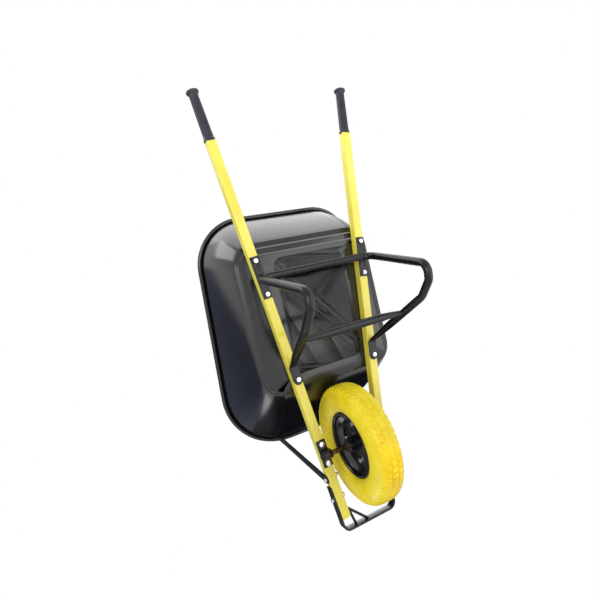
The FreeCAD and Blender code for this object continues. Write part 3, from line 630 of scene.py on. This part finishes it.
def bar_along(name, stations, sections, across):
    """A bar of changing section: loops of (width, depth, corner) set square to each station."""
    loops = []
    for (point, ahead), (width, depth, corner) in zip(stations, sections):
        across = (across - ahead * across.dot(ahead)).normalized()
        deep = ahead.cross(across)
        place = Matrix((across, deep, ahead)).transposed().to_4x4()
        place.translation = point * mm
        loops.append(rounded_loop(-width / 2, width / 2, depth / 2, corner, corner, place, segments=7,
                                  keep_face=not loops))
    return lofted(name, loops)


def foot_height(x):
    """Height of the leg's centre line where it lies along the ground."""
    return (leg_radius - tyre_radius + x * math.sin(rest_tilt)) / math.cos(rest_tilt)


tab_middle = handle_under - tab_sheet / 2
tab_nose = Vector((nose_of_tab, along_handle(nose_of_tab), tab_middle))
tab_end = Vector((nose_of_tab - tab_length, along_handle(nose_of_tab - tab_length), tab_middle))
foot_lift, plate_sheet, weld_sink = 38, 4, 1
foot_front = Vector((foot_front_x, 194, foot_height(foot_front_x) + foot_lift))
foot_middle = Vector((foot_middle_x, 192, foot_height(foot_middle_x)))
foot_rear = Vector((foot_rear_x, 190, foot_height(foot_rear_x)))
bridge = Vector((bridge_x, 209, handle_under - plate_sheet + weld_sink - leg_radius))
corners = [tab_nose, tab_end, foot_front, foot_middle, foot_rear, bridge, Vector((bridge_x, 0, bridge.z))]
stations = bent(corners, [14, 60, 38.4, 28.8, 36])

# Below the tab's bend the tube opens from flat to round, so more stations go in there.
(last_bend, ahead), (next_bend, _) = stations[8:10]
stations[9:9] = [(last_bend.lerp(next_bend, along), ahead)
                 for along in (0.08, 0.17, 0.28, 0.4, 0.55, 0.75)]

# The tab's nose is round: distance from its tip, and the share of the full width there.
nose_steps = [(0.3, 0.14), (2, 0.47), (5, 0.71), (9, 0.88), (17, 1)]
tip, ahead = stations.pop(0)
stations = [(tip + ahead * back, ahead) for back, share in nose_steps] + stations

flat_corner = 0.48  # of the thickness, so flat sections have almost round edges
round_tube = (2 * leg_radius, 2 * leg_radius, leg_radius * 0.995)
sections = [(tab_width * share, tab_sheet, flat_corner * min(tab_sheet, tab_width * share))
            for back, share in nose_steps]
opening = [(29, 7), (26, 8), (23, 9), (21, 10), (20.5, 11), (22, 13), (25, 15), (28, 17), (30, 19),
           (29, 21), (27, 23)]
for width, depth in [(tab_width, tab_sheet)] * 3 + opening:
    sections.append((width, depth, flat_corner * depth))
sections += [round_tube] * (len(stations) - len(sections))
leg = bar_along("leg_tube", stations, sections, Vector((math.sin(splay), math.cos(splay), 0)))
modify(leg, "MIRROR", use_axis=(False, True, False), merge_threshold=0.02 * mm)
bpy.ops.object.shade_smooth_by_angle(angle=math.radians(40))
leg.data.transform(stand)
finish_piece(leg, frame_paint, "black_frame_paint", "frame", "leg_frame")

# ---------------------------------------------------------------- leg cross tube
# A second 25 mm tube that ties the front legs together half-way down. Its ends are squeezed oval
# and welded to the backs of the legs. The same powder coat.

cross_height = -144
leg_top_x = nose_of_tab - 48
leg_top = Vector((leg_top_x, along_handle(leg_top_x), tab_middle))
weld = leg_top.lerp(foot_front, (leg_top.z - cross_height) / (leg_top.z - foot_front.z))
reach = weld.y - 4
stations = [(Vector((weld.x - 12, reach - along, weld.z)), Vector((0, -1, 0)))
            for along in (0, 8, 22, 38, 56, 76, reach)]
sections = [(27, 11, 5.2), (27, 12, 5.7), (27, 15, 7.2), (26.5, 18.5, 8.9), (26, 21.5, 10.4),
            (25.4, 24.4, 11.9), round_tube]
brace = bar_along("leg_cross_tube", stations, sections, Vector((0, 0, 1)))
modify(brace, "MIRROR", use_axis=(False, True, False), merge_threshold=0.02 * mm)
bpy.ops.object.shade_smooth_by_angle(angle=math.radians(40))
brace.data.transform(stand)
finish_piece(brace, frame_paint, "black_frame_paint", "frame", "leg_brace")

# ---------------------------------------------------------------- rear plates
# A 4 mm flat plate under each handle, held by two of the tray's bolts, which the leg frame's
# bridge is welded to. Sheared from bar, with broken edges.

for name in ("rear_plate_left", "rear_plate_right"):
    finish_piece(softened(name, 0.8), frame_paint, "black_frame_paint", "frame", name)

# ---------------------------------------------------------------- stays
# Two 28 mm flat bars, bolted to the handles' outsides, which carry the tray's front wall. Their
# top ends are cut to the wall's slope, so each is drawn down and then run up to its outer face.

top_end_above, drawn_down = 350, 25
for name in ("stay_left", "stay_right"):
    stay = merged_copy(name)
    stay.vertex_groups.new(name="top_end")
    edit(stay, "VERT")
    pick(stay, lambda p: p.z > top_end_above)
    bpy.ops.transform.translate(value=(0, 0, -drawn_down * mm))
    bpy.ops.object.vertex_group_assign()
    bpy.ops.object.mode_set(mode="OBJECT")
    modify(stay, "SHRINKWRAP", target=tray, wrap_method="PROJECT", use_project_z=True,
           use_positive_direction=True, vertex_group="top_end", offset=0.1 * mm)
    stay.vertex_groups.clear()
    round_edges(stay, 0.8, over=40)
    finish_piece(stay, frame_paint, "black_frame_paint", "frame", name)

# ---------------------------------------------------------------- nose guard
# A 28 by 6 mm flat bar bent round the nose on small radii, its arms bolted to the outsides of the
# handles, so that the barrow can be tipped forward onto it. A small V of rod braces its left half.

guard_bar, guard_sheet = 28, 6
guard_rear_x, guard_front_x, guard_corner = 118, 275, 20


def guard_line(x):
    """The middle of the bar's thickness, beside the handle's outside face."""
    return along_handle(x) + (handle_side + guard_sheet) / 2 / math.cos(splay)


guard_middle = guard_front_x - guard_sheet / 2
corners = [Vector((guard_rear_x, guard_line(guard_rear_x), handle_middle)),
           Vector((guard_middle, guard_line(guard_middle), handle_middle)),
           Vector((guard_middle, 0, handle_middle))]
stations = bent(corners, [guard_corner + guard_sheet / 2], steps=8)
sections = [(guard_bar, guard_sheet, 1.6)] * len(stations)
guard = bar_along("nose_guard_bar", stations, sections, Vector((0, 0, 1)))
modify(guard, "MIRROR", use_axis=(False, True, False), merge_threshold=0.02 * mm)
round_edges(guard, 0.8, over=60)
guard.data.transform(stand)
finish_piece(guard, frame_paint, "black_frame_paint", "frame", "nose_guard")
coat_node("nose_brace", frame_paint)

# ---------------------------------------------------------------- bolts, nuts and washers
# Bright zinc plated steel: hexagon bolts under the brackets and through the sides, coach bolts
# with domed heads in the tray, plain nuts. A smooth plate with cloudy patches.

# Bright, slightly blue-white metal whose cloudy patches break up the glint of each head.
zinc = coating("bright_zinc_plate", "f0f2f4", "d6d9de", 0.3, 0.01, 1, 9, metallic=1)
for name in ("rim_bolts", "rim_nuts", "axle_bracket_bolts", "axle_bracket_nuts", "tray_bolts",
             "tray_nuts", "tray_washers", "side_bolts", "side_nuts"):
    body = "wheel" if name.startswith("rim") else "frame"
    finish_piece(softened(name, 0.3), zinc, "zinc_fasteners", body, name)

# ---------------------------------------------------------------- view
# Colours are shown as mixed.

bpy.context.scene.view_settings.view_transform = "Standard"
